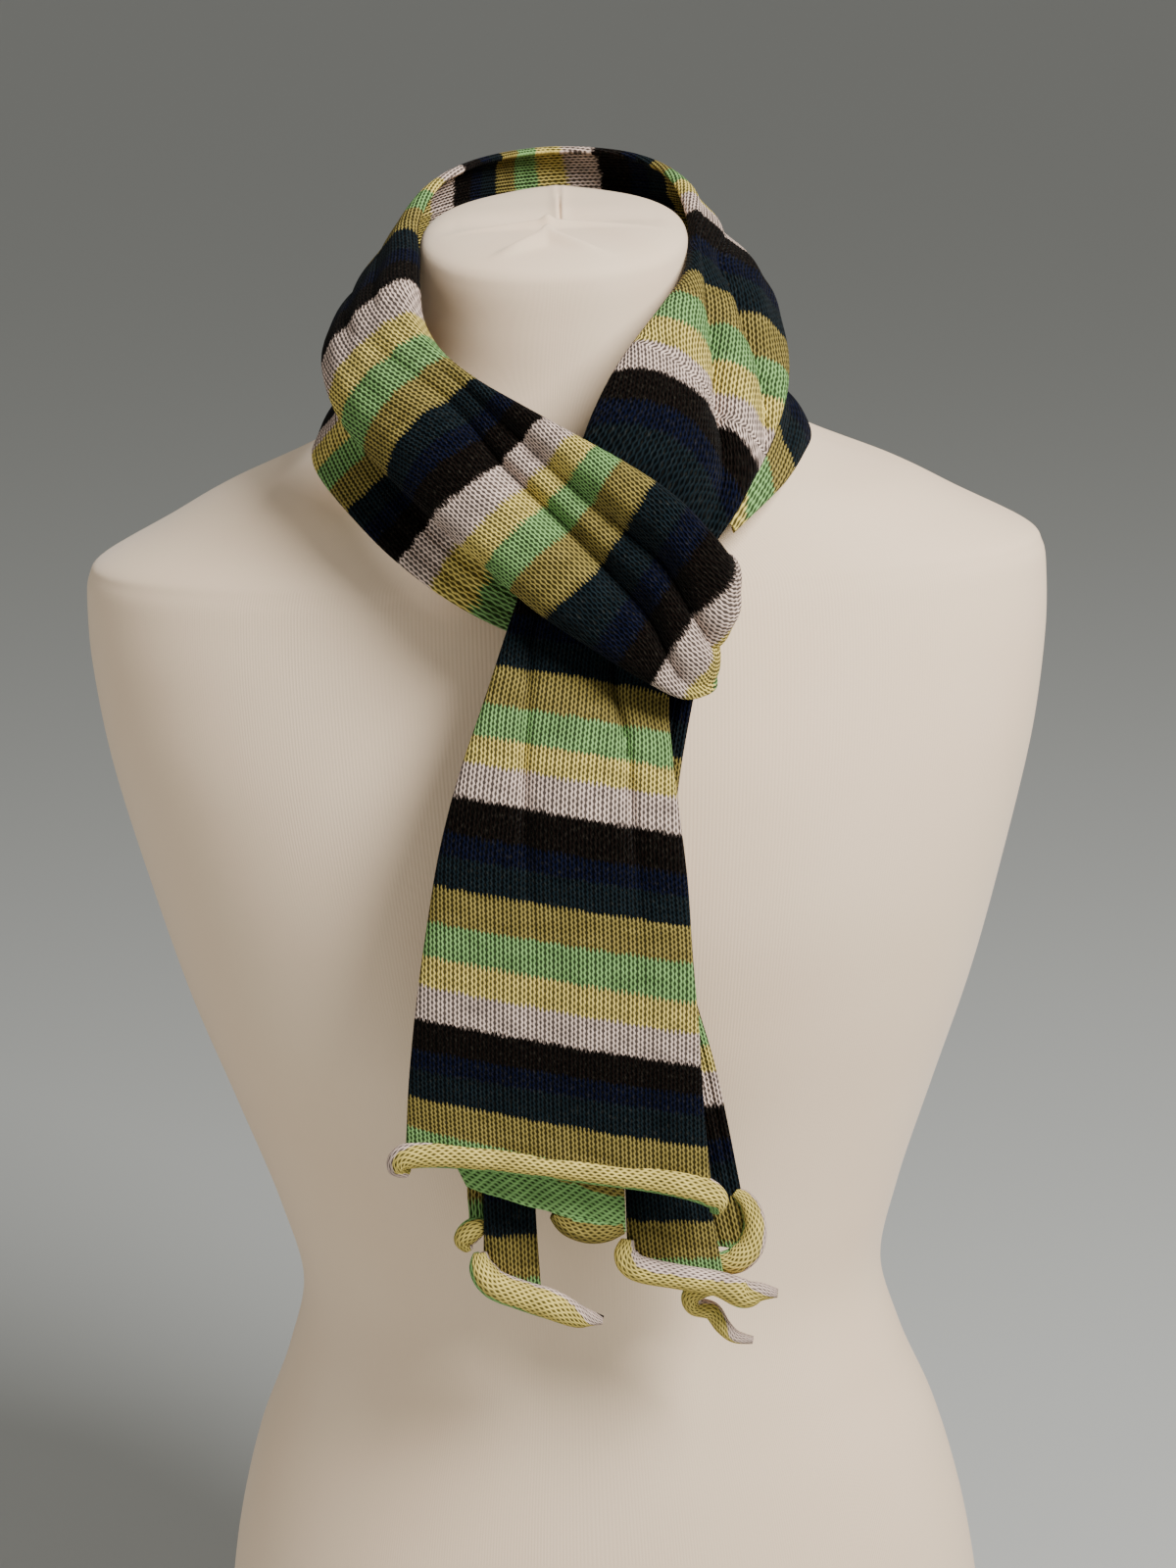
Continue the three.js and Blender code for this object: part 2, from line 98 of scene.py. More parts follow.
# The knit: one repeat of stripes is 40 courses. On its face each stitch is two legs of yarn that
# bow apart round a small hole, so the holes stand in a row up the middle of a wale, and a colour
# ends in a tooth on each leg. On its back the loops are arcs that bow up and down by turns.
WALE = 0.0031
COURSES = 40
STRIPES = [
    (0.000, 0xE8CDBD), (0.154, 0x120B08), (0.308, 0x0A0F24), (0.396, 0x141F24),
    (0.551, 0x988747), (0.727, 0x86B46B), (0.881, 0xE8D070),
]
# a leg's place, sway and half width are in wales; the start of the first stripe, the height of
# a colour's tooth and the bow of an arc are in courses
LEG_ASIDE = 0.27
LEG_SWAY = 0.06
LEG_HALF_WIDTH = 0.2
FIRST_STRIPE = 0.2
TOOTH = 0.9
ARC_BOW = 0.13
ARC_OVERLAP = 0.35
NAP_COLOUR = 0xA39B86
NAP_SHARE = 0.22


def alpaca_knit(name, purl):
    """The knit seen on its face, or on its back if purl is true."""
    material, tree, shader = new_material(name)

    def calc(operation, *values, clamp=False):
        inputs = dict(enumerate(values))
        return add_node(tree, "ShaderNodeMath", inputs, operation=operation, use_clamp=clamp).outputs[0]

    def wave(value):
        """The cosine of a value given in turns."""
        return calc("COSINE", calc("MULTIPLY", value, math.tau))

    def noise(x, y, detail):
        place = add_node(tree, "ShaderNodeCombineXYZ", {"X": x, "Y": y}).outputs[0]
        inputs = {"Vector": place, "Scale": 1.0, "Detail": detail}
        return add_node(tree, "ShaderNodeTexNoise", inputs, noise_dimensions="2D").outputs[0]

    uv = add_node(tree, "ShaderNodeUVMap", uv_map="knit").outputs[0]
    split = add_node(tree, "ShaderNodeSeparateXYZ", {0: uv})
    wale = split.outputs["X"]
    course = calc("MULTIPLY", split.outputs["Y"], float(COURSES))
    if purl:
        # the higher of two arcs, half a course apart, with a small eye between them that is painted dark
        # as shade
        bow = calc("MULTIPLY", wave(wale), ARC_BOW)
        rising = wave(calc("ADD", course, bow))
        falling = wave(calc("ADD", calc("SUBTRACT", course, bow), 0.5))
        top = calc("MAXIMUM", rising, falling)
        height = calc("MULTIPLY_ADD", top, 1 - ARC_OVERLAP, ARC_OVERLAP)
        tooth = 0.0
    else:
        # aside goes from the middle of the wale, 0, to the gap beside the next wale, 0.5
        aside = calc("ABSOLUTE", calc("SUBTRACT", calc("FRACT", wale), 0.5))
        leg = calc("MULTIPLY_ADD", wave(course), LEG_SWAY, LEG_ASIDE)
        off_leg = calc("DIVIDE", calc("SUBTRACT", aside, leg), LEG_HALF_WIDTH)
        height = calc("SUBTRACT", 1.0, calc("MULTIPLY", off_leg, off_leg), clamp=True)
        # the tooth stands on the middle of the leg and ends at both its sides
        off_tip = calc("ABSOLUTE", calc("SUBTRACT", aside, 0.25))
        tooth = calc("MULTIPLY_ADD", off_tip, -4 * TOOTH, TOOTH)
    # stripes: each stitch takes the colour of its course, with edges a little out of line; in a
    # noise, the numbers on wale and course say how short its patches are across and along
    jitter = noise(calc("MULTIPLY", wale, 0.7), course, 1.0)
    stitch = calc("FLOOR", calc("ADD", course, calc("ADD", tooth, jitter)))
    repeat = calc("FRACT", calc("DIVIDE", calc("SUBTRACT", stitch, FIRST_STRIPE), float(COURSES)))
    stripes = add_node(tree, "ShaderNodeValToRGB", {0: repeat})
    ramp = stripes.color_ramp
    ramp.interpolation = "CONSTANT"
    for k, (place, colour) in enumerate(STRIPES):
        stop = ramp.elements[k] if k < 2 else ramp.elements.new(place)
        stop.position = place
        stop.color = linear(colour)
    # melange: lengths of darker and lighter yarn in each course, pale specks of nap, and painted
    # shade where the yarn sinks away, in the holes and between the loops
    lengths = noise(calc("MULTIPLY", wale, 0.22), calc("MULTIPLY", stitch, 0.83), 2.0)
    tone = calc("MULTIPLY_ADD", lengths, 0.9, 0.55)
    painted_hole_shade = calc("MULTIPLY_ADD", height, 0.95, 0.1, clamp=True)
    melange_and_painted_shade = calc("MULTIPLY", tone, painted_hole_shade)
    specks = noise(calc("MULTIPLY", wale, 3.1), calc("MULTIPLY", course, 1.1), 2.0)
    nap = calc("MULTIPLY", calc("POWER", specks, 6.0), NAP_SHARE)
    grey = add_node(tree, "ShaderNodeCombineXYZ", {"X": melange_and_painted_shade, "Y": melange_and_painted_shade, "Z": melange_and_painted_shade}).outputs[0]
    yarn = add_node(tree, "ShaderNodeMix", {"Factor": 1.0, 6: stripes.outputs[0], 7: grey},
                    data_type="RGBA", blend_type="MULTIPLY")
    colour = add_node(tree, "ShaderNodeMix", {"Factor": nap, 6: yarn.outputs[2], 7: linear(NAP_COLOUR)},
                      data_type="RGBA")
    bump = add_node(tree, "ShaderNodeBump", {"Height": height, "Distance": 0.0009, "Strength": 0.8})
    tree.links.new(colour.outputs[2], shader.inputs["Base Color"])
    tree.links.new(bump.outputs[0], shader.inputs["Normal"])
    shader.inputs["Roughness"].default_value = 0.95
    shader.inputs["Specular IOR Level"].default_value = 0.04
    shader.inputs["Sheen Weight"].default_value = 0.02
    shader.inputs["Sheen Roughness"].default_value = 0.4
    return material


knit_face = alpaca_knit("alpaca_knit", purl=False)
knit_back = alpaca_knit("alpaca_knit_rolled", purl=True)

# ---- cloth walls ----------------------------------------------------------------------------
# A table's rows are read as smooth curves, a section is an arch over its chord, and each
# section's points are worked out together for the whole piece.
MM = 0.001
WALL = 0.002
ARCH_POWER = 0.8
CREASE_WIDTH = 7.5
# slight folds across every wall: their height, their number, and how they sway along the strip
RIPPLE = 0.0004
RIPPLES_ACROSS = 3.7
RIPPLE_SWAY = 0.31
RIPPLE_PACE = 0.9
# what a crease adds to the density of the columns, and the share of the turn over which it fades
CROWDING = 5
CROWDING_REACH = 0.05


def rows_at(table, t):
    """Rows between rows: a Catmull-Rom curve through the table's rows, t in row numbers."""
    last = len(table) - 1
    i = np.clip(np.floor(t).astype(int), 0, last - 1)
    f = (t - i)[:, None]
    a, b, c, d = (table[np.clip(i + k, 0, last)] for k in (-1, 0, 1, 2))
    return b + 0.5 * f * (c - a + f * (2 * a - 5 * b + 4 * c - d + f * (3 * (b - c) + d - a)))


def rows_along(table, rows):
    """Even steps t through a table, its rows there, and its rows a twentieth of a row on and back."""
    last = len(table) - 1
    t = np.linspace(0, last, rows)
    return t, *(rows_at(table, np.clip(t + step, 0, last)) for step in (0.0, 0.05, -0.05))


def unit(vectors):
    """The same directions, each of length 1."""
    return vectors / np.linalg.norm(vectors, axis=-1, keepdims=True)


def path_length(points, axis):
    """The length of a line of points, from its start to each point."""
    steps = np.linalg.norm(np.diff(points, axis=axis), axis=-1)
    return np.concatenate([np.zeros_like(steps.take([0], axis)), np.cumsum(steps, axis=axis)], axis=axis)


def closed_wall(name, layers, wales, runs, material):
    """A closed wall from its outer and inner layers of points, with two knit numbers per column."""
    points = np.stack(layers, axis=1)
    rows, _, columns, _ = points.shape
    number = np.arange(rows * 2 * columns).reshape(rows, 2, columns)

    def quads(a, b, c, d):
        return np.stack([a, b, c, d], axis=-1).reshape(-1, 4)

    outer, inner = number[:, 0], number[:, 1]
    faces = np.concatenate([
        quads(outer[:-1, :-1], outer[:-1, 1:], outer[1:, 1:], outer[1:, :-1]),
        quads(inner[:-1, 1:], inner[:-1, :-1], inner[1:, :-1], inner[1:, 1:]),
        quads(inner[:-1, 0], outer[:-1, 0], outer[1:, 0], inner[1:, 0]),
        quads(outer[:-1, -1], inner[:-1, -1], inner[1:, -1], outer[1:, -1]),
        quads(inner[0, :-1], inner[0, 1:], outer[0, 1:], outer[0, :-1]),
        quads(outer[-1, :-1], outer[-1, 1:], inner[-1, 1:], inner[-1, :-1]),
    ])
    flat = points.reshape(-1, 3)
    # the sign of the enclosed volume tells whether the faces point out
    a, b, c, d = flat[faces].transpose(1, 0, 2)
    volume = np.sum(a * np.cross(b, c)) + np.sum(a * np.cross(c, d))
    if volume < 0:
        faces = faces[:, ::-1]
    mesh = bpy.data.meshes.new(name)
    mesh.from_pydata(flat.tolist(), [], faces.tolist())
    numbers = np.stack([wales, runs], axis=-1)
    numbers = np.stack([numbers, numbers], axis=1).reshape(-1, 2)
    knit = mesh.uv_layers.new(name="knit")
    knit.data.foreach_set("uv", numbers[faces.ravel()].astype(np.float32).ravel())
    mesh.polygons.foreach_set("use_smooth", np.ones(len(faces), dtype=bool))
    mesh.materials.append(material)
    piece = bpy.data.objects.new(name, mesh)
    bpy.context.scene.collection.objects.link(piece)
    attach(piece, "root")
    return piece


def turn_shares(creases, columns):
    """
    Shares of the turn, row by row, from a density of 1 + crowding * exp(-distance / reach) at
    each crease: the columns stand close together at the creases and follow them along the strip.
    """
    places = np.linspace(-0.5, 1.5, 1001)
    density = 1 + sum(CROWDING * np.exp(-np.abs(places - crease) / CROWDING_REACH) for crease in creases)
    total = np.cumsum(density, axis=1)
    start, end = (np.array([np.interp(x, places, row) for row in total]) for x in (0.0, 1.0))
    wanted = start[:, None] + (end - start)[:, None] * np.linspace(0, 1, columns)
    return np.array([np.interp(steps, row, places) for steps, row in zip(wanted, total)])


def arched_wall(name, table, rows, columns, material, crease_width=CREASE_WIDTH):
    """
    A wall through arched sections. Table columns: inner edge xyz, outer edge xyz, crown, curl,
    two creases, crease depth, and the run of stripes at the inner edge, at the outer edge and
    what is added between them. A section goes from -curl to 180 + curl degrees. Its height is
    sin^0.8 of the angle times the crown, less the creases, each depth * exp(-distance / width).
    The width of a crease is given for all rows, or from row to row.
    """
    t, here, ahead, before = rows_along(table, rows)
    inner = here[:, 0:3] * MM
    outer = here[:, 3:6] * MM
    centre = (inner + outer) / 2
    along = unit((ahead[:, 0:3] + ahead[:, 3:6]) - (before[:, 0:3] + before[:, 3:6]))
    across = unit(outer - inner)
    outward = unit(np.cross(along, across))
    half_width = np.linalg.norm(outer - inner, axis=1)[:, None] / 2
    crown = here[:, 6:7] * MM
    curl = np.radians(here[:, 7:8])
    creases = here[:, 8:9], here[:, 9:10]
    depth = here[:, 10:11] * MM
    run_inner, run_outer, run_added = here[:, 11:12], here[:, 12:13], here[:, 13:14]
    crease_turns = [np.arccos(1 - 2 * np.clip(crease, 0, 1)) / math.pi for crease in creases]
    angle = -curl + (math.pi + 2 * curl) * turn_shares(crease_turns, columns)
    share = (1 - np.cos(angle)) / 2
    rise = np.sin(angle)
    sway = RIPPLE_SWAY * np.sin(RIPPLE_PACE * t)[:, None]
    press = RIPPLE * (1 + np.cos(math.tau * (RIPPLES_ACROSS * share + sway)))
    widths = np.full(len(table), crease_width)
    spread = np.interp(t, np.arange(len(table)), widths)[:, None] * MM
    for crease in creases:
        press = press + depth * np.exp(-np.abs(share - crease) * 2 * half_width / spread)
    layers = []
    for inset in (0.0, WALL):
        reach = -np.cos(angle) * (half_width - inset)
        arch = np.sign(rise) * np.abs(rise) ** ARCH_POWER * (crown - inset)
        height = arch - press * np.clip(rise, 0, None)
        layers.append(centre[:, None] + across[:, None] * reach[..., None]
                      + outward[:, None] * height[..., None])
    length = path_length(layers[0], axis=1)
    wales = (length - length[:, columns // 2, None]) / WALE
    runs = run_inner + (run_outer - run_inner) * share + run_added * 4 * share * (1 - share)
    return closed_wall(name, layers, wales, runs, material)


# ---- main strip -----------------------------------------------------------------------------
# From the turn behind the knot, across the chest, round the neck, down the wearer's left side
# and under its own crossing band into the front tail: one length of cloth, in one piece.
MAIN_STRIP = np.array([
    [22, -101.5, 583, 12, -101.5, 546, 4, 10, 0.45, 0.8, 0, -7.4, -7.5, 0],
    [41, -101, 588, 33, -101, 541, 5.5, 12, 0.45, 0.8, 1, -7.2, -7.4, 0],
    [54.5, -106, 586, 48, -105, 538, 7, 14, 0.6, 0.88, 3.5, -7.05, -7.3, 0],
    [59.5, -118, 587, 53, -118, 537, 8, 16, 0.68, 0.92, 6, -6.9, -7.2, 0],
    [57.5, -131, 590.5, 49, -131, 537, 9, 18, 0.66, 0.92, 7.2, -6.82, -7.1, 0],
    [52.5, -138, 599.5, 40, -138, 538, 10, 20, 0.52, 0.9, 8.4, -6.72, -7, 0],
    [41, -138, 612, 26, -138, 546, 11, 22, 0.36, 0.68, 9.6, -6.55, -6.8, 0],
    [25, -132, 623, 9, -136, 557, 12, 22, 0.32, 0.57, 10.8, -6.33, -6.6, 0],
    [5, -124, 634, -10, -132, 570, 12, 22, 0.25, 0.47, 10.8, -6, -6.43, 0],
    [-14, -114, 644, -30, -124, 587, 12, 26, 0.17, 0.39, 9.6, -5.72, -6.1, 0],
    [-31, -103, 653, -48, -113, 603, 12, 22, 0.1, 0.26, 7.2, -5.43, -5.82, 0],
    [-44, -88, 662, -65, -98, 618, 13, 14, 0.08, 0.25, 3, -5.2, -5.38, 0],
    [-51, -66, 671, -80, -77, 632, 13, 10, 0.15, 0.4, 2, -5, -5.1, 0],
    [-53, -40, 680, -88, -47, 646, 12, 10, 0.3, 0.6, 2, -4.85, -4.85, 0],
    [-53.5, -16, 690, -87, -19, 655, 10, 10, 0.32, 0.65, 2.5, -4.6, -4.66, 0],
    [-54, 8, 700, -83, 12, 661, 8, 10, 0.35, 0.7, 3, -4.36, -4.52, 0],
    [-46, 33, 711.5, -72, 45, 665, 7, 10, 0.35, 0.7, 3, -4.05, -4.3, 0],
    [-31, 53, 718.2, -48, 74, 668, 7, 10, 0.38, 0.7, 3, -3.75, -3.9, 0],
    [-10, 63, 721.2, -16, 89, 670, 7, 10, 0.4, 0.7, 3, -3.19, -3.3, 0],
    [12, 64, 721.2, 16, 90, 670, 7, 10, 0.38, 0.66, 3, -2.91, -2.95, 0],
    [34, 55, 718.2, 48, 76, 668, 7, 10, 0.3, 0.6, 3, -2.62, -2.55, 0],
    [48, 35, 711.5, 73, 47, 664, 8, 10, 0.2, 0.5, 3, -2.2, -2.1, 0],
    [53.5, 10, 700, 84, 13, 658, 9, 10, 0.1, 0.35, 4, -1.87, -1.75, 0],
    [53.5, -12, 690, 86, -15, 650, 10, 10, 0.06, 0.25, 5.8, -1.68, -1.57, 0],
    [50, -36, 681, 86.5, -41, 641, 11, 10, 0.15, 0.5, 8, -1.47, -1.38, 0],
    [41, -61, 673, 84, -66, 632, 11, 10, 0.38, 0.8, 10.3, -1.24, -1.15, 0],
    [31, -81, 664, 78, -87, 621.5, 10, 12, 0.57, 0.95, 10.3, -1.06, -0.96, 0.02],
    [21, -96, 653, 71, -100, 611, 9, 22, 0.77, 1.1, 9.2, -0.87, -0.82, 0.12],
    [12, -105, 638, 63, -108, 599, 8, 20, 0.88, 1.2, 5.8, -0.65, -0.64, 0.12],
    [4, -110, 619, 51, -111, 583, 6, 16, 0.9, 1.3, 2, -0.45, -0.45, 0.05],
    [-4, -113, 601, 44, -113, 567, 4.5, 12, 0.6, 1.2, 0, -0.2, -0.2, 0],
    [-12, -116, 586, 40, -117, 551, 4.5, 12, 0.2, 0.7, 1, 0.05, 0.22, 0],
    [-19, -120, 570, 36.5, -123, 534, 4.5, 14, 0.14, 0.64, 5.5, 0.27, 0.565, 0],
    [-31, -131, 539, 37, -134, 514, 7, 16, 0.22, 0.75, 5.5, 0.7, 0.83, 0],
    [-42, -139, 511, 39, -140, 493, 7, 16, 0.3, 0.78, 4.5, 1.08, 1.09, 0],
    [-50, -143, 484, 41, -144, 470, 6, 16, 0.35, 0.8, 3, 1.4, 1.33, 0],
    [-56, -146, 455, 42, -147, 443, 6, 16, 0.4, 0.8, 1, 1.78, 1.69, 0],
    [-61, -147, 427, 43.5, -147, 414, 5, 16, 0.4, 0.82, 0.7, 2.1, 1.98, 0],
    [-65, -147, 398, 44.5, -147, 384, 5, 16, 0.4, 0.82, 0.6, 2.47, 2.35, 0],
    [-67, -147, 376, 46, -147, 358, 5, 14, 0.4, 0.82, 0.6, 2.79, 2.66, -0.02],
    [-67.5, -148, 369.5, 46.5, -148, 351.5, 2.5, 10, 0.4, 0.82, 0, 2.86, 2.71, -0.04],
])
# the creases are soft round the neck and in the knot, and sharp in the front tail
MAIN_CREASE_WIDTHS = [CREASE_WIDTH] * 31 + [5, 3, 2.5, 2.5, 3, 3, 3, 3, 3, 3]
main_strip = arched_wall("knit_main_strip", MAIN_STRIP, 740, 65, knit_face, MAIN_CREASE_WIDTHS)
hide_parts("scarf_crossing_band", "scarf_right_shoulder", "scarf_back_neck",
            "scarf_left_shoulder", "scarf_front_tail")

# ---- lower fold -----------------------------------------------------------------------------
# The outer layer of the same cloth, lying on the shoulders all round under the main strip.
LOWER_FOLD = np.array([
    [4, -105, 577, -6, -105.5, 553, 4, 10, 0.5, 0.75, 0, -6.4, -6.4, 0],
    [-12, -105, 584, -24, -106, 559, 4, 10, 0.5, 0.75, 2, -6.2, -6.2, 0],
    [-29, -100, 597, -45, -104, 571, 4, 12, 0.5, 0.75, 2, -6.06, -6.06, 0],
    [-41, -90, 612, -65, -96, 586, 4, 14, 0.5, 0.75, 2, -5.8, -5.8, 0],
    [-51, -73, 628, -82, -82, 602, 4, 16, 0.5, 0.75, 2, -5.42, -5.42, 0],
    [-57, -55, 643, -92, -63, 611, 4, 16, 0.5, 0.75, 2, -5.15, -5.15, 0],
    [-61, -34, 653, -96, -40, 615, 4, 16, 0.5, 0.75, 2, -5, -5, 0],
    [-62, -12, 660, -96, -14, 616, 4, 16, 0.5, 0.75, 2, -4.85, -4.85, 0],
    [-60, 14, 666, -93, 18, 620, 4, 16, 0.5, 0.75, 2, -4.5, -4.5, 0],
    [-51, 36, 670, -80, 51, 625, 4, 16, 0.5, 0.75, 2, -4.15, -4.15, 0],
    [-34, 57, 673, -52, 81, 627, 4, 16, 0.5, 0.75, 2, -3.8, -3.8, 0],
    [-12, 67, 675, -17, 96, 628, 4, 16, 0.5, 0.75, 2, -3.4, -3.4, 0],
    [12, 68, 675, 18, 96, 628, 4, 16, 0.5, 0.75, 2, -3.05, -3.05, 0],
    [34, 58, 673, 53, 82, 627, 4, 16, 0.5, 0.75, 2, -2.7, -2.7, 0],
    [52, 37, 669, 81, 52, 624, 4, 16, 0.5, 0.75, 2, -2.35, -2.35, 0],
    [62, 14, 664, 95, 17, 616.8, 4, 16, 0.5, 0.75, 2, -1.62, -1.8, 0],
    [65, -12, 657, 98, -15, 613, 4, 16, 0.5, 0.75, 2, -1.49, -1.69, 0],
    [67, -34, 647, 93, -42, 609.5, 4, 16, 0.5, 0.75, 2, -1.37, -1.57, 0],
    [66.5, -54, 637, 85.5, -64, 604, 4, 14, 0.5, 0.75, 2, -1.2, -1.4, 0],
    [64, -70, 627, 78, -78, 599.5, 4, 12, 0.5, 0.75, 2, -1.08, -1.26, 0],
    [60, -82, 616, 70.5, -88, 595, 4, 12, 0.5, 0.75, 2, -1, -1.16, 0],
    [56, -90, 605, 63.5, -94, 590, 4, 12, 0.5, 0.75, 2, -0.98, -1.08, 0],
])
lower_fold = arched_wall("knit_lower_fold", LOWER_FOLD, 380, 41, knit_face)
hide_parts("scarf_lower_fold_right", "scarf_lower_fold_back", "scarf_lower_fold_left")

# ---- hanging layers -------------------------------------------------------------------------
# The end of the front tail is folded double, and the scarf's other end hangs as four pleats.
# Each layer has its node, table, rows, columns, length and side of the knit, and its own rolls.
BACK_LAYER = np.array([
    [-56, -142, 424, 12, -142, 410, 3, 6, 0.5, 0.8, 0, 1.8, 1.8, 0],
    [-58, -142, 400, 13, -142, 384, 3, 6, 0.5, 0.8, 0, 2.3, 2.3, 0],
    [-55, -140, 376, 14, -140, 358, 3, 6, 0.5, 0.8, 0.5, 2.67, 2.61, 0],
    [-46, -139, 352, 14, -139, 331, 3, 6, 0.5, 0.8, 0.5, 2.88, 2.87, 0],
])
REAR_LEFT_PLEAT = np.array([
    [-20, -106, 557.2, -6, -106, 552.4, 4, 10, 0.5, 0.8, 0, 0, 0, 0],
    [-26, -118, 500, 0, -118, 496, 4, 10, 0.5, 0.8, 1, 0.6, 0.6, 0],
    [-33, -126, 450, -8, -126, 446, 4, 10, 0.5, 0.8, 1, 1.15, 1.15, 0],
    [-38.5, -129, 400, -17, -129, 396, 4, 10, 0.5, 0.8, 1, 1.75, 1.75, 0],
    [-39.5, -129, 352, -20, -129, 349, 4, 10, 0.5, 0.8, 1, 2.3, 2.32, 0],
    [-41, -129.5, 319, -19.5, -129, 310, 4, 10, 0.5, 0.8, 1, 2.64, 2.72, 0],
    [-41.5, -131.5, 313, -19, -131, 303, 2.5, 8, 0.5, 0.8, 0.5, 2.72, 2.82, 0],
])
REAR_MIDDLE_PLEAT = np.array([
    [10, -102, 545.5, 33, -102, 540.3, 3.5, 10, 0.5, 0.8, 0, 0, 0, 0],
    [5, -117, 500, 36, -117, 492, 4, 10, 0.5, 0.8, 1, 0.6, 0.6, 0],
    [8, -126, 450, 37, -126, 444, 4, 10, 0.5, 0.8, 1, 1.15, 1.15, 0],
    [13, -129, 400, 41, -129, 394, 4, 10, 0.5, 0.8, 1, 1.75, 1.75, 0],
    [14, -129, 352, 46, -129, 344, 4, 10, 0.5, 0.8, 1, 2.33, 2.38, 0],
    [14, -129.5, 320.5, 50, -129.5, 314, 4, 10, 0.5, 0.8, 1, 2.68, 2.74, 0],
    [14, -132, 315, 51, -132, 307.5, 2.5, 8, 0.5, 0.8, 0.5, 2.76, 2.84, 0],
])
REAR_RIGHT_PLEAT = np.array([
    [36.5, -98.5, 539.2, 48, -100.5, 536.6, 3, 10, 0.5, 0.8, 0, 0.2, 0.2, 0],
    [28, -110.5, 490, 38, -110.5, 485, 3.5, 10, 0.5, 0.8, 1, 0.8, 0.8, 0],
    [24, -119, 440, 40, -119, 434, 3.5, 10, 0.5, 0.8, 1, 1.4, 1.4, 0],
    [31, -121, 390, 50.5, -121, 388, 3.5, 10, 0.5, 0.8, 1, 1.98, 2, 0],
    [38, -122, 341.4, 58.5, -122, 340.7, 3.5, 10, 0.5, 0.8, 1, 2.5, 2.51, 0],
    [44, -122.5, 318, 62, -122.5, 316, 3, 8, 0.5, 0.8, 0.5, 2.74, 2.74, 0],
])
REAR_FAR_PLEAT = np.array([
    [-37, -122.2, 400, -28, -122.2, 398, 2.5, 6, 0.5, 0.8, 0, 1.9, 1.9, 0],
    [-45.5, -124, 352, -37, -124, 350, 2.5, 6, 0.5, 0.8, 0, 2.6, 2.62, 0],
    [-46, -124, 334, -38, -124, 332, 2.5, 6, 0.5, 0.8, 0, 2.76, 2.78, 0],
    [-46.5, -124.5, 327, -38.5, -124.5, 326, 2, 6, 0.5, 0.8, 0, 2.82, 2.84, 0],
])
HANGING_LAYERS = [
    ("scarf_tail_back_layer", BACK_LAYER, 90, 31, 0.095, knit_back, []),
    ("scarf_rear_pleat_left", REAR_LEFT_PLEAT, 180, 25, 0.245, knit_face, ["scarf_rear_roll_left"]),
    ("scarf_rear_pleat_middle", REAR_MIDDLE_PLEAT, 180, 25, 0.24, knit_face,
     ["scarf_rear_roll_middle", "scarf_hanging_tip"]),
    ("scarf_rear_pleat_right", REAR_RIGHT_PLEAT, 160, 25, 0.21, knit_face, ["scarf_rear_roll_right"]),
    ("scarf_rear_pleat_far", REAR_FAR_PLEAT, 90, 21, 0.075, knit_face, ["scarf_rear_roll_far"]),
]
for node, table, rows, columns, _, side, _ in HANGING_LAYERS:
    arched_wall(node.replace("scarf", "knit"), table, rows, columns, side)
    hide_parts(node)

# ---- rolled hems ----------------------------------------------------------------------------
# The knit curls up at a raw edge, so each hem is a roll, open along its back. Table columns:
# centre xyz, radius, and the run of stripes along its front.
ROLL_WALL = 0.00144
ROLL_COLUMNS = 29
ROLL_CURL = math.radians(70)
ROLL_RUN = 0.32


def rolled_hem(node, table, rows):
    """
    A roll along its centre line. Its section is a circle that leaves the back open by 40 degrees,
    and it faces the front. From its lower edge round to its upper one the run of stripes goes up
    by ROLL_RUN, half to each side of the table's run.
    """
    _, here, ahead, before = rows_along(table, rows)
    along = unit(ahead[:, :3] - before[:, :3])
    front = np.array([0.0, -1.0, 0.0])
    outward = unit(front - along * (along @ front)[:, None])
    across = np.cross(outward, along)
    share = np.linspace(0, 1, ROLL_COLUMNS)[None, :]
    angle = -ROLL_CURL + (math.pi + 2 * ROLL_CURL) * share
    centre = here[:, None, :3] * MM
    radius = here[:, 3:4] * MM
    layers = [centre
              + across[:, None] * (-np.cos(angle) * (radius - inset))[..., None]
              + outward[:, None] * (np.sin(angle) * (radius - inset))[..., None]
              for inset in (0.0, ROLL_WALL)]
    length = path_length(centre[:, 0], axis=0)
    wales = np.repeat((length / WALE)[:, None], ROLL_COLUMNS, axis=1)
    runs = here[:, 4:5] + ROLL_RUN * (share - 0.5)
    piece = closed_wall(node.replace("scarf", "knit"), layers, wales, runs, knit_back)
    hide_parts(node)
    return piece


FRONT_ROLL = np.array([
    [-67, -146.5, 361, 2, 3.02],
    [-71, -147.5, 364, 3.8, 3],
    [-67, -148, 368.3, 4.9, 2.96],
    [-52, -148, 368.6, 5.3, 2.935],
    [-27, -148, 365.2, 5.3, 2.93],
    [-2, -148, 360.6, 5.2, 2.93],
    [23, -148, 356.2, 5.3, 2.93],
    [40, -148, 351.8, 5.4, 2.93],
    [48, -147, 346.5, 4.6, 2.91],
    [48, -146, 341, 2.4, 2.86],
])
BACK_LAYER_ROLL = np.array([
    [-13, -138, 339.5, 2.8, 2.7],
    [-8, -138, 335.4, 5, 2.7],
    [-1, -138, 332.6, 5.6, 2.7],
    [6, -138, 332, 5, 2.7],
    [13, -138, 333, 3, 2.7],
])
REAR_LEFT_ROLL = np.array([
    [-42, -132.5, 322, 2.6, 2.95],
    [-41.5, -134, 316, 5, 2.93],
    [-37, -135, 309.8, 5.7, 2.93],
    [-27, -135, 305, 5.7, 2.93],
    [-16, -136, 301.2, 5.8, 2.94],
    [-6, -137, 296.5, 4.6, 2.97],
    [-0.5, -137, 295.2, 3, 3.04],
    [4, -137.5, 294.5, 1.7, 3.11],
])
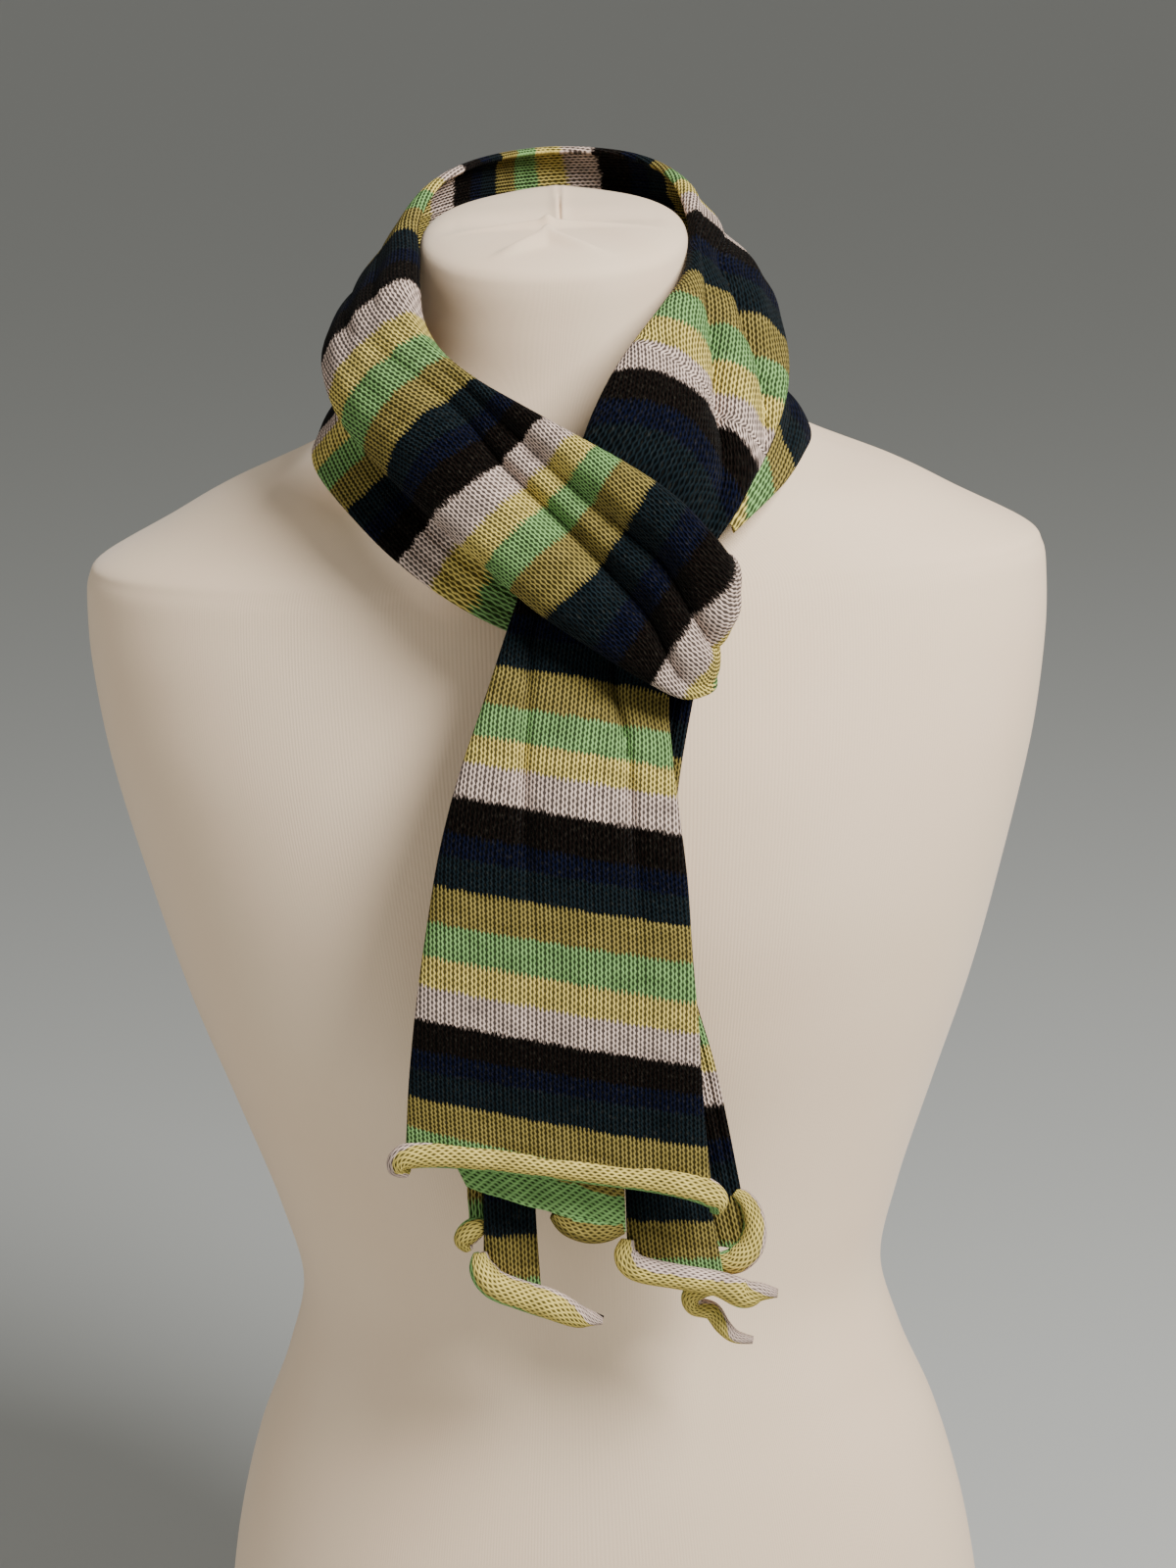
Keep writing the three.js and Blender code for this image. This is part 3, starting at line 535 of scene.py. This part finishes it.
REAR_MIDDLE_ROLL = np.array([
    [14.5, -132, 325, 2.4, 2.98],
    [13.5, -134, 319.5, 4.6, 2.98],
    [18, -135, 314.2, 5.1, 2.985],
    [33, -135, 310.2, 4.8, 2.985],
    [48, -135, 306.8, 4.9, 2.98],
    [58, -135.5, 302.5, 5.6, 2.94],
    [64.5, -136.5, 303.4, 3.6, 2.99],
    [71, -137.5, 303, 1.7, 3.06],
])
REAR_RIGHT_ROLL = np.array([
    [56, -122, 339, 2.2, 2.93],
    [61, -122.5, 334.5, 3.5, 2.95],
    [63.5, -123.5, 326, 4.4, 2.96],
    [61.5, -124.5, 317, 5.3, 2.97],
    [55, -125.5, 312, 5.3, 2.96],
    [48, -125.5, 312.5, 3, 2.94],
])
REAR_FAR_ROLL = np.array([
    [-38.5, -125.2, 330.5, 2.2, 2.94],
    [-43.5, -126, 329.5, 4.4, 2.96],
    [-48, -126, 325, 4.2, 2.97],
    [-46.5, -126, 320.5, 1.8, 2.98],
])
HANGING_TIP = np.array([
    [51, -129.5, 302.4, 2.2, 2.9],
    [43, -129, 302.6, 3.8, 2.95],
    [38.5, -127.5, 299, 4, 2.97],
    [39.5, -126.5, 294.2, 3.8, 2.97],
    [46, -127, 292, 3.6, 2.95],
    [50, -128, 286, 3.2, 2.97],
    [54.5, -129, 282, 2.6, 3.04],
    [61.5, -129.5, 280.3, 1.5, 3.07],
])
HEMS = [
    ("scarf_front_roll", FRONT_ROLL, 150), ("scarf_back_layer_roll", BACK_LAYER_ROLL, 50),
    ("scarf_rear_roll_left", REAR_LEFT_ROLL, 90), ("scarf_rear_roll_middle", REAR_MIDDLE_ROLL, 100),
    ("scarf_rear_roll_right", REAR_RIGHT_ROLL, 70), ("scarf_rear_roll_far", REAR_FAR_ROLL, 40),
    ("scarf_hanging_tip", HANGING_TIP, 90),
]
hems = {node: rolled_hem(node, table, rows) for node, table, rows in HEMS}

# ---- dress form -----------------------------------------------------------------------------
# A padded torso in cream jersey, flat at its base, with a sloping neck cap. Table columns:
# height, half width, reach to the front and the back, centre y, and slope from front to back.
FORM_SECTIONS = np.array([
    [0, 154, 104, 112, 0, 0], [40, 161, 109, 118, 0, 0], [78, 164, 111, 120, 0, 0],
    [116, 161, 110, 117, 0, 0], [153, 155, 106, 110, 0, 0], [190, 145, 99, 100, 0, 0],
    [225, 131, 92, 90, 0, 0], [262, 122, 87, 83, 0, 0], [300, 130, 89, 84, 0, 0],
    [345, 145, 95, 89, 0, 0], [392, 161, 104, 95, 0, 0], [440, 174, 110, 101, 0, 0],
    [490, 186, 107, 105, 0, 0], [530, 191.5, 98, 103, 0, 0], [556, 192, 90, 99, 0, 0],
    [566, 190.5, 86.5, 96, 0.5, 0], [572, 185.5, 84, 94, 1, 0], [584, 161.5, 79, 89, 2, 0.02],
    [596, 137.5, 74, 82, 3, 0.05],
    [610, 101, 68, 74, 4, 0.1], [628, 72, 61, 65, 4, 0.15], [650, 58, 55, 58, 3, 0.2],
    [672, 53.5, 52, 55, 1, 0.23], [687, 53, 51, 54, 0, 0.22], [693, 51.5, 49.5, 52, 0, 0.21],
    [696.5, 46, 44, 46, 0, 0.21], [698.4, 38, 37, 38, 0, 0.21], [699.2, 31, 30, 31, 0, 0.21],
    [699.6, 24, 23, 24, 0, 0.21], [699.8, 17, 16.5, 17, 0, 0.21], [699.9, 10, 9.7, 10, 0, 0.21],
    [700, 4, 4, 4, 0, 0.21],
])
FORM_HEIGHT = 0.700
FORM_SQUARENESS = 2.25
FORM_SIDES = 240
FORM_RINGS = 320
CAP_START = 0.684
CAP_BLEND = 0.01
RIBS = 820


def jersey():
    """Fine cotton jersey: faint upright ribs and two near shades of cream."""
    material, tree, shader = new_material("cotton_jersey")
    uv = add_node(tree, "ShaderNodeUVMap", uv_map="knit").outputs[0]
    split = add_node(tree, "ShaderNodeSeparateXYZ", {0: uv})
    turns = add_node(tree, "ShaderNodeMath", {0: split.outputs["X"], 1: RIBS * math.tau},
                     operation="MULTIPLY").outputs[0]
    ribs = add_node(tree, "ShaderNodeMath", {0: turns}, operation="COSINE").outputs[0]
    cloud = add_node(tree, "ShaderNodeTexNoise", {"Vector": uv, "Scale": 7.0, "Detail": 3.0}).outputs[0]
    colour = add_node(tree, "ShaderNodeMix",
                      {"Factor": cloud, 6: linear(0xEFD0AE), 7: linear(0xF8E0C2)}, data_type="RGBA")
    bump = add_node(tree, "ShaderNodeBump", {"Height": ribs, "Distance": 0.0001, "Strength": 0.25})
    tree.links.new(colour.outputs[2], shader.inputs["Base Color"])
    tree.links.new(bump.outputs[0], shader.inputs["Normal"])
    shader.inputs["Roughness"].default_value = 0.9
    shader.inputs["Sheen Weight"].default_value = 0.15
    return material


def bell(value, width):
    """exp(-(value / width)^2)."""
    return np.exp(-(value / width) ** 2)


def cap_folds(x, y):
    """
    Height of the folds in the cap, all in millimetres: a straight fold and a bent one, each with
    a small peak, the seam to the back with its raised edge, a shallow hollow behind them and a
    crest at the back. Each is a height times a bell across it, and dies away along its length.
    """
    aside = np.abs(x + 2.2)
    straight = 3.6 * bell(y + 11.5, 1.7) * np.exp(-(aside / 24) ** 1.5)
    bent = 5.0 * bell(y + 28.5 + 0.5 * aside, 2.8) * np.exp(-(aside / 17) ** 1.5)
    peaks = 1.8 * (bell(np.hypot(aside, y + 11.5), 2.24) + bell(np.hypot(aside, y + 28), 2.83))
    seam = (1.2 * bell(x - 2.5, 3.0) - 1.6 * bell(x - 2.5, 0.7)) * np.clip((y + 9) / 4, 0, 1)
    hollow = -4.0 * bell(y + 1, 8) * bell(x + 2, 34)
    crest = 1.6 * bell(x, 16) * np.clip((y - 22) / 20, 0, 1)
    fade = np.clip((47 - np.hypot(x, y)) / 8, 0, 1)
    return (straight + bent + peaks + seam + hollow) * fade + crest


def build_form():
    """
    Rings of a superellipse: x and y are the signed powers of the cosine and sine of the angle.
    Each ring tips by its slope times y. The base and the cap close on a centre point.
    """
    t = np.linspace(0, len(FORM_SECTIONS) - 1, FORM_RINGS)
    sections = rows_at(FORM_SECTIONS, t)
    z, half_width, front, back, centre_y = sections[:, :5].T[:, :, None] * MM
    slope = sections[:, 5:6]
    turn = np.linspace(0, 2 * math.pi, FORM_SIDES, endpoint=False)[None, :]
    power = 2 / FORM_SQUARENESS
    sine = np.sign(np.sin(turn)) * np.abs(np.sin(turn)) ** power
    cosine = np.sign(np.cos(turn)) * np.abs(np.cos(turn)) ** power
    x = half_width * cosine
    y = np.where(np.sin(turn) > 0, back, front) * sine
    folds = cap_folds(x / MM, y / MM) * MM * np.clip((z - CAP_START) / CAP_BLEND, 0, 1)
    rings = np.stack([x, centre_y + y, z + slope * y + folds], axis=-1)
    base_centre = [0.0, 0.0, 0.0]
    cap_centre = [0.0, 0.0, FORM_HEIGHT + cap_folds(0.0, 0.0) * MM]
    points = np.concatenate([rings.reshape(-1, 3), [base_centre, cap_centre]])
    number = np.arange(FORM_RINGS * FORM_SIDES).reshape(FORM_RINGS, FORM_SIDES)
    after = np.roll(number, -1, axis=1)
    sides = np.stack([number[:-1], after[:-1], after[1:], number[1:]], axis=-1).reshape(-1, 4)
    base = [[number.size, b, a] for a, b in zip(number[0], after[0])]
    cap = [[number.size + 1, a, b] for a, b in zip(number[-1], after[-1])]
    mesh = bpy.data.meshes.new("dress_form_jersey")
    mesh.from_pydata(points.tolist(), [], sides.tolist() + base + cap)
    around, up = np.broadcast_arrays(turn / (2 * math.pi), z)
    places = np.concatenate([np.stack([around, up], axis=-1).reshape(-1, 2),
                             [[0.5, 0.0], [0.5, FORM_HEIGHT]]])
    corners = np.empty(len(mesh.loops), dtype=np.int32)
    mesh.loops.foreach_get("vertex_index", corners)
    mesh.uv_layers.new(name="knit").data.foreach_set("uv", places[corners].astype(np.float32).ravel())
    mesh.polygons.foreach_set("use_smooth", np.ones(len(mesh.polygons), dtype=bool))
    mesh.materials.append(jersey())
    return mesh


form = bpy.data.objects.new("dress_form_jersey", build_form())
bpy.context.scene.collection.objects.link(form)
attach(form, "root")
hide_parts("dress_form")

# ---- floor and light ------------------------------------------------------------------------
# A plain pale floor so wide that its edge is out of sight, a soft key light from the front
# right, and a weaker and wider one from the front left. Both point at the middle of the form.
FLOOR_HALF = 90.0
LIT_POINT = Vector((0.0, 0.0, 0.5))
floor_mesh = bpy.data.meshes.new("floor")
floor_corners = [(x * FLOOR_HALF, y * FLOOR_HALF, 0) for x, y in ((-1, -1), (1, -1), (1, 1), (-1, 1))]
floor_mesh.from_pydata(floor_corners, [], [(0, 1, 2, 3)])
floor = bpy.data.objects.new("floor", floor_mesh)
bpy.context.scene.collection.objects.link(floor)
paper, _, paper_shader = new_material("pale_paper")
paper_shader.inputs["Base Color"].default_value = linear(0xBFC0BC)
paper_shader.inputs["Roughness"].default_value = 0.9
floor_mesh.materials.append(paper)


def soft_light(name, place, size, power):
    """A round lamp at a place, turned to the lit point."""
    light = bpy.data.lights.new(name, "AREA")
    light.shape = "DISK"
    light.size = size
    light.energy = power
    lamp = bpy.data.objects.new(name, light)
    lamp.location = place
    lamp.rotation_euler = (LIT_POINT - Vector(place)).to_track_quat("-Z", "Y").to_euler()
    bpy.context.scene.collection.objects.link(lamp)


soft_light("key", (1.0, -1.0, 1.75), size=0.8, power=64)
soft_light("fill", (-1.5, -1.2, 0.9), size=1.4, power=6)
world = bpy.data.worlds.new("studio")
world.use_nodes = True
world.node_tree.nodes["Background"].inputs["Color"].default_value = linear(0xE4E4E0)
world.node_tree.nodes["Background"].inputs["Strength"].default_value = 0.36
bpy.context.scene.world = world
